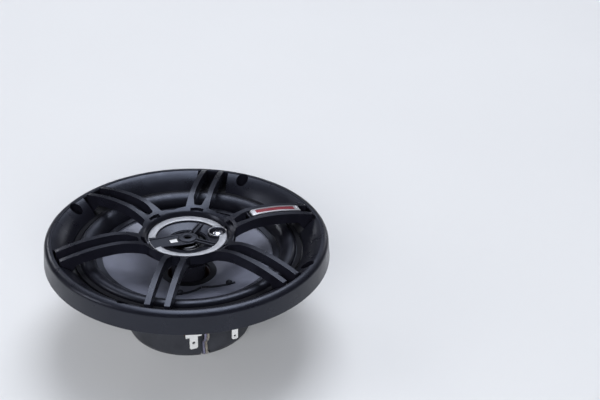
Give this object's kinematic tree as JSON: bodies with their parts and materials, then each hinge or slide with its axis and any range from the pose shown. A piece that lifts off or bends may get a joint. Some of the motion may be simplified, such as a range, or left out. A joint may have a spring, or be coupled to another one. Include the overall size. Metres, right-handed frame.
{
  "type": "coaxial car speaker",
  "caption": "Round flush-mount car speaker: spoked trim ring over a woofer cone, tweeter pod on a centre post, steel basket, magnet in a rubber boot, spade terminals on a side board.",
  "frame": {"origin": "centre of the magnet boot's back face, the lowest plane of the part", "axes": "+Z along the speaker's axis towards the listener; +X along the badge's spoke; the terminals are on the -Y side"},
  "size_m": [0.1728, 0.1728, 0.0705],
  "materials": {
    "trim_plastic": "moulded, fine grain, satin",
    "soft_rubber": "smooth, dull sheen",
    "boot_rubber": "smooth, dull sheen",
    "cone_film": "smooth, soft sheen",
    "foam": "matt closed-cell foam",
    "black_paint": "semi-gloss black",
    "zinc_steel": "bright zinc plate",
    "ferrite": "matt grey ceramic magnet",
    "copper": "enamelled copper wire",
    "kapton": "amber film",
    "spider_cloth": "resin-stiffened weave",
    "pod_plastic": "moulded, satin",
    "silver": "brushed satin",
    "polished": "polished",
    "dome_film": "thin metallised film",
    "badge_red": "dark red gloss",
    "tin": "tin plate",
    "phenolic": "brown laminate",
    "glue": "black set adhesive",
    "lead_grey": "soft insulation, violet grey",
    "lead_brown": "soft insulation, grey brown",
    "cap_sleeve": "shrink sleeve"
  },
  "bodies": {
    "chassis": {"trim_ring": "trim_plastic", "spoke_frame": "trim_plastic", "badge_frame": "silver", "badge_plate": "badge_red", "basket": "black_paint", "rear_gasket": "foam", "front_gasket": "foam", "surround": "soft_rubber", "spider": "spider_cloth", "tinsel_lead_positive": "copper", "tinsel_lead_negative": "copper", "magnet_boot": "boot_rubber", "back_plate": "zinc_steel", "ferrite_magnet": "ferrite", "top_plate": "zinc_steel", "pod_post": "pod_plastic", "post_nut": "zinc_steel", "pod_housing": "pod_plastic", "bezel": "silver", "tweeter_guard": "pod_plastic", "tweeter_rim": "pod_plastic", "tweeter_cup": "zinc_steel", "tweeter_magnet": "polished", "tweeter_pole_plate": "zinc_steel", "super_tweeter_cup": "pod_plastic", "super_tweeter_bezel": "polished", "super_tweeter_dome": "polished", "super_tweeter_piezo": "tin", "terminal_board": "phenolic", "positive_tab": "tin", "negative_tab": "tin", "positive_rivet": "tin", "negative_rivet": "tin", "board_rivet": "tin", "crossover_capacitor": "cap_sleeve", "capacitor_wire_left": "tin", "capacitor_wire_right": "tin", "tweeter_lead_positive": "lead_grey", "tweeter_lead_negative": "lead_brown"},
    "cone_assembly": {"cone": "cone_film", "voice_coil_former": "kapton", "voice_coil_winding": "copper", "eyelet_positive": "glue", "eyelet_negative": "glue"},
    "tweeter_diaphragm": {"tweeter_dome": "dome_film", "tweeter_coil": "copper"}
  },
  "joints": [
    {"name": "cone_excursion", "type": "slide", "parent": "chassis", "child": "cone_assembly", "axis": [0, 0, 1], "range_m": [-0.004, 0.004], "stiffness_N_per_m": 1700, "deforming": ["surround", "spider", "tinsel_lead_positive", "tinsel_lead_negative"]},
    {"name": "tweeter_excursion", "type": "slide", "parent": "chassis", "child": "tweeter_diaphragm", "axis": [0, 0, 1], "range_m": [-0.0003, 0.0003], "stiffness_N_per_m": 2000}
  ]
}
